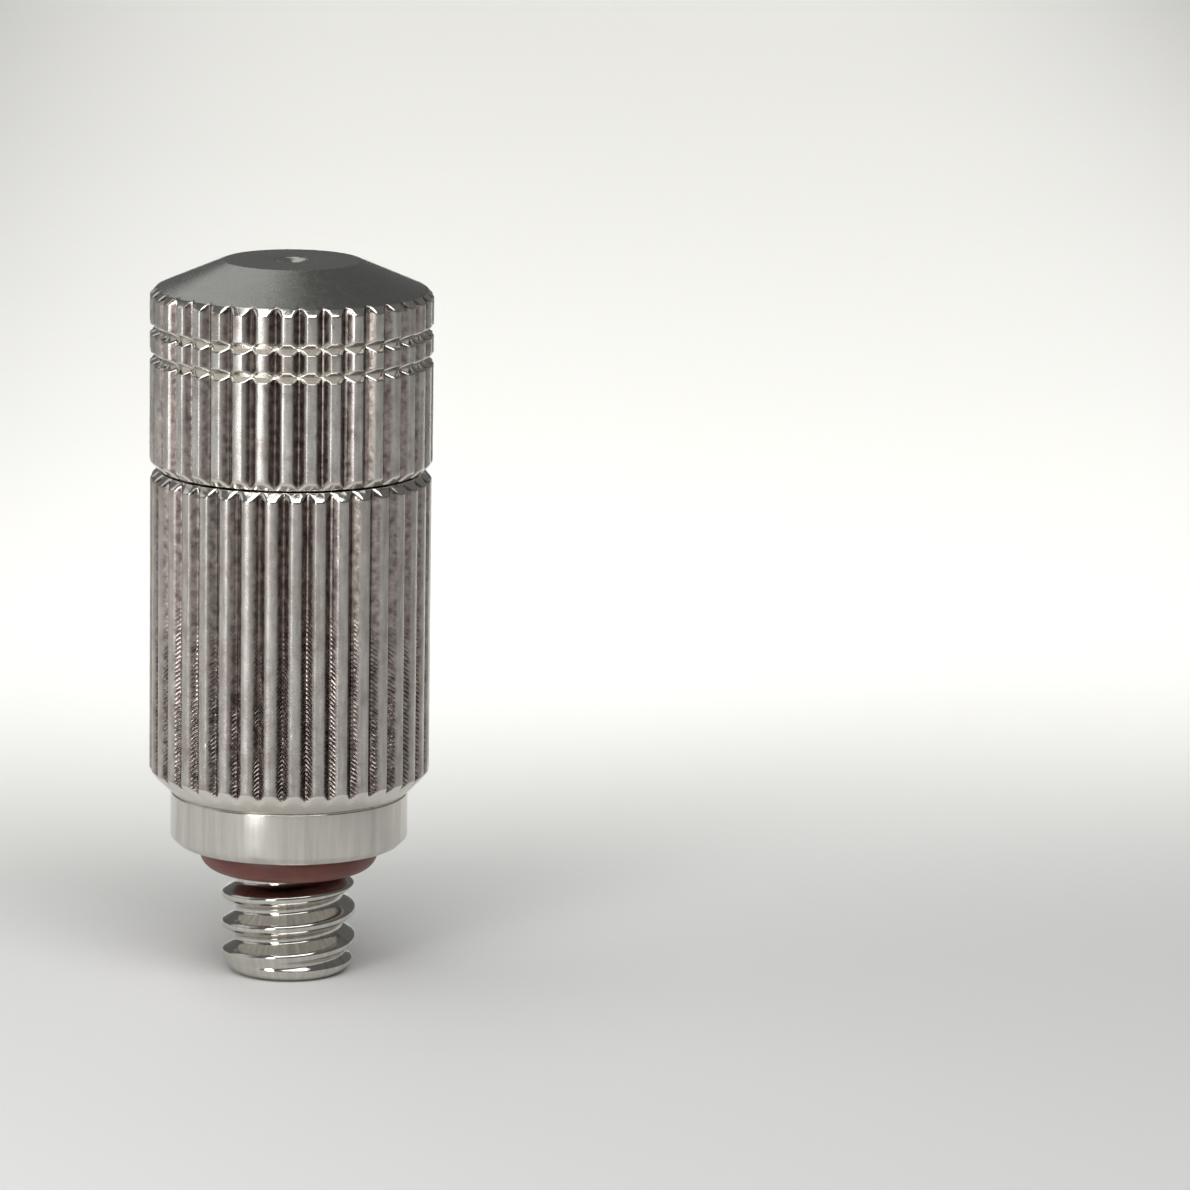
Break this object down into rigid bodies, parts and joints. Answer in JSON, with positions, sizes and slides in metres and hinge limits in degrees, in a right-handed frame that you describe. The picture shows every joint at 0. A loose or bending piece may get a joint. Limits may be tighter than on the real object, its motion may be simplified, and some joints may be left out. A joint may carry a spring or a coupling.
{
  "type": "misting nozzle",
  "caption": "Take-apart anti-drip misting nozzle: knurled barrel and screw-on spray cap, O-ring seated collar and a short male inlet thread.",
  "frame": {"origin": "centre of the inlet stem's end face, on the nozzle's axis", "axes": "+Z along the nozzle's axis, with the flow, from the inlet thread towards the spray orifice; -Y is the side that faces the viewer in the front view"},
  "size_m": [0.01, 0.01, 0.0255],
  "materials": {
    "stainless_body": "turned and knurled, bright",
    "stainless_cap": "turned and knurled, bright",
    "stainless_stem": "fine turned, bright",
    "stainless_insert": "fine turned",
    "stainless_trim": "turned",
    "spring_wire": "drawn wire",
    "brass_core": "turned",
    "sintered_bronze": "porous, matt",
    "brown_fkm": "satin",
    "black_nbr": "matt"
  },
  "bodies": {
    "barrel": {"barrel": "stainless_body", "inlet_stem": "stainless_stem", "inlet_o_ring": "brown_fkm", "stem_o_ring": "black_nbr", "filter_cup": "sintered_bronze", "valve_seat": "stainless_trim", "valve_spring": "spring_wire", "cap_o_ring": "black_nbr"},
    "poppet": {"check_poppet": "stainless_trim", "poppet_seal": "black_nbr"},
    "core": {"swirl_core": "brass_core"},
    "cap": {"spray_cap": "stainless_cap", "orifice_insert": "stainless_insert"}
  },
  "joints": [
    {"name": "check_valve_lift", "type": "slide", "parent": "barrel", "child": "poppet", "axis": [0, 0, 1], "range_m": [0, 0.0006], "stiffness_N_per_m": 180, "springref_m": -0.0012, "deforming": ["valve_spring"]},
    {"name": "cap_lift", "type": "slide", "parent": "barrel", "child": "core", "axis": [0, 0, 1], "range_m": [0, 0.003], "deforming": ["valve_spring"]},
    {"name": "cap_turn", "type": "hinge", "parent": "core", "child": "cap", "pos_m": [0, 0, 0.02], "axis": [0, 0, 1], "range_deg": [0, 1440]}
  ],
  "couplings": [
    {"joint": "cap_turn", "follows": "cap_lift", "rad_per_m": 8377.6}
  ]
}
